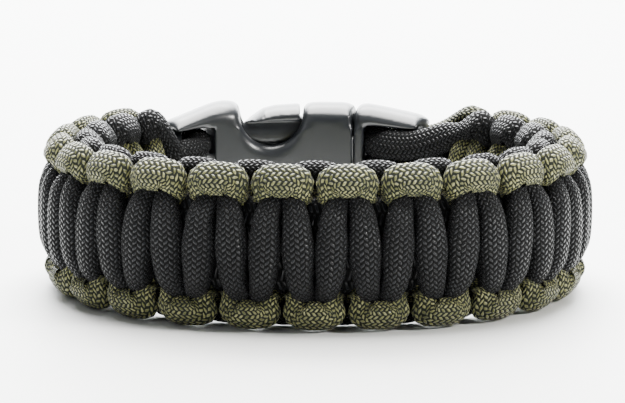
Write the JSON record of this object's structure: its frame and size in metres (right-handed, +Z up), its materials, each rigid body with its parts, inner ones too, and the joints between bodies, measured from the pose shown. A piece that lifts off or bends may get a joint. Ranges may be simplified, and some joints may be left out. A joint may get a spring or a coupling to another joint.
{
  "type": "paracord bracelet",
  "caption": "Wide woven bracelet of two cords in a cobra knot, closed into a loop by a curved side-release buckle and lying on its edge.",
  "frame": {"origin": "centre of the bounding box at its bottom, on the surface that the bracelet lies on", "axes": "+Z up along the wrist's axis, -Y to the front where the weave has its middle, +Y to the buckle, +X towards the buckle's plug end"},
  "size_m": [0.0788, 0.0686, 0.0228],
  "materials": {
    "black_cord": "braided nylon sheath, dull with a slight sheen",
    "olive_cord": "braided nylon sheath, dull with pale picks",
    "buckle_plastic": "satin moulded plastic"
  },
  "bodies": {
    "root": {"black_cord": "black_cord", "olive_cord": "olive_cord", "buckle_socket": "buckle_plastic", "buckle_plug": "buckle_plastic"}
  },
  "joints": []
}
